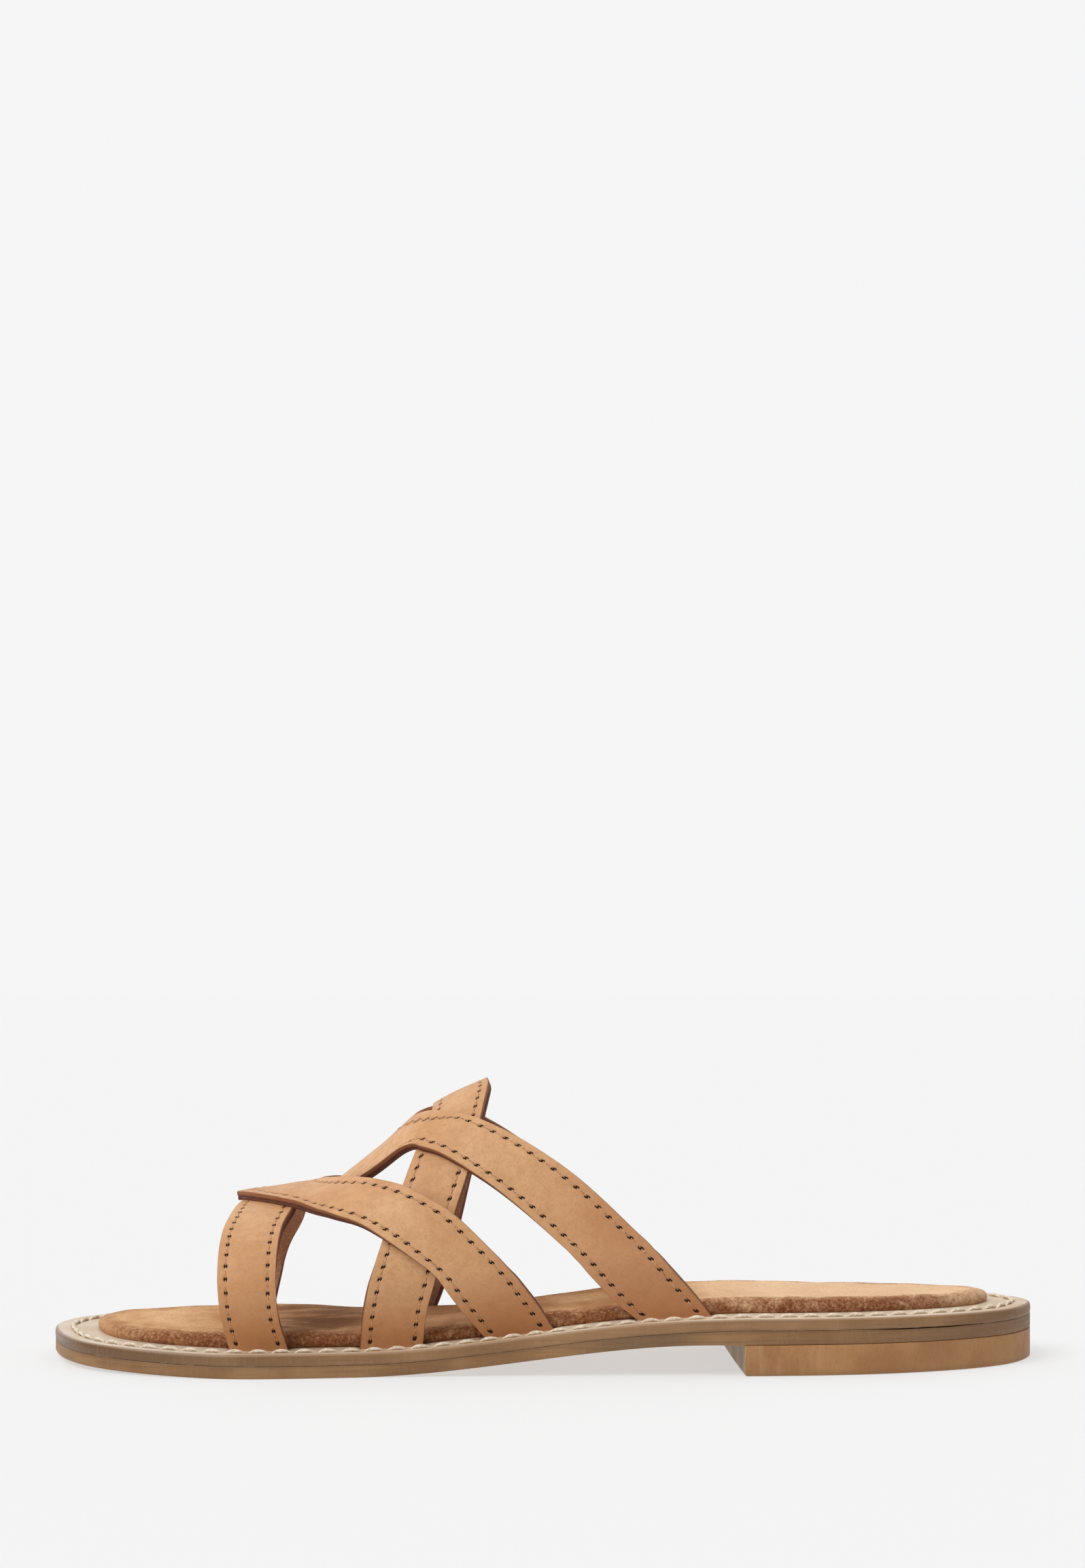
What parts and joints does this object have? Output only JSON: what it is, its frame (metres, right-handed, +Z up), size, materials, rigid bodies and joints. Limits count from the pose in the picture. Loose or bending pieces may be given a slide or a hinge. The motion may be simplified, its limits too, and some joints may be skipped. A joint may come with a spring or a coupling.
{
  "type": "slide sandal",
  "caption": "Flat leather slide sandal for the left foot, with woven straps over a padded footbed and a low stacked heel.",
  "frame": {"origin": "On the ground under the middle of the shoe's bounding box.", "axes": "+X from toe to heel, +Y to the inner side of the foot, +Z up."},
  "size_m": [0.2618, 0.0922, 0.0745],
  "materials": {
    "outsole_leather": "smooth brown outsole with burnished sides",
    "welt_leather": "pale natural leather with burnished grey-brown sides",
    "heel_leather": "stacked leather, sanded and lightly waxed",
    "footbed_suede": "napped tan suede over foam",
    "strap_leather": "smooth tan leather with raw brown edges"
  },
  "bodies": {
    "root": {"outsole": "outsole_leather", "midsole": "welt_leather", "heel": "heel_leather", "footbed": "footbed_suede", "upper": "strap_leather"}
  },
  "joints": []
}
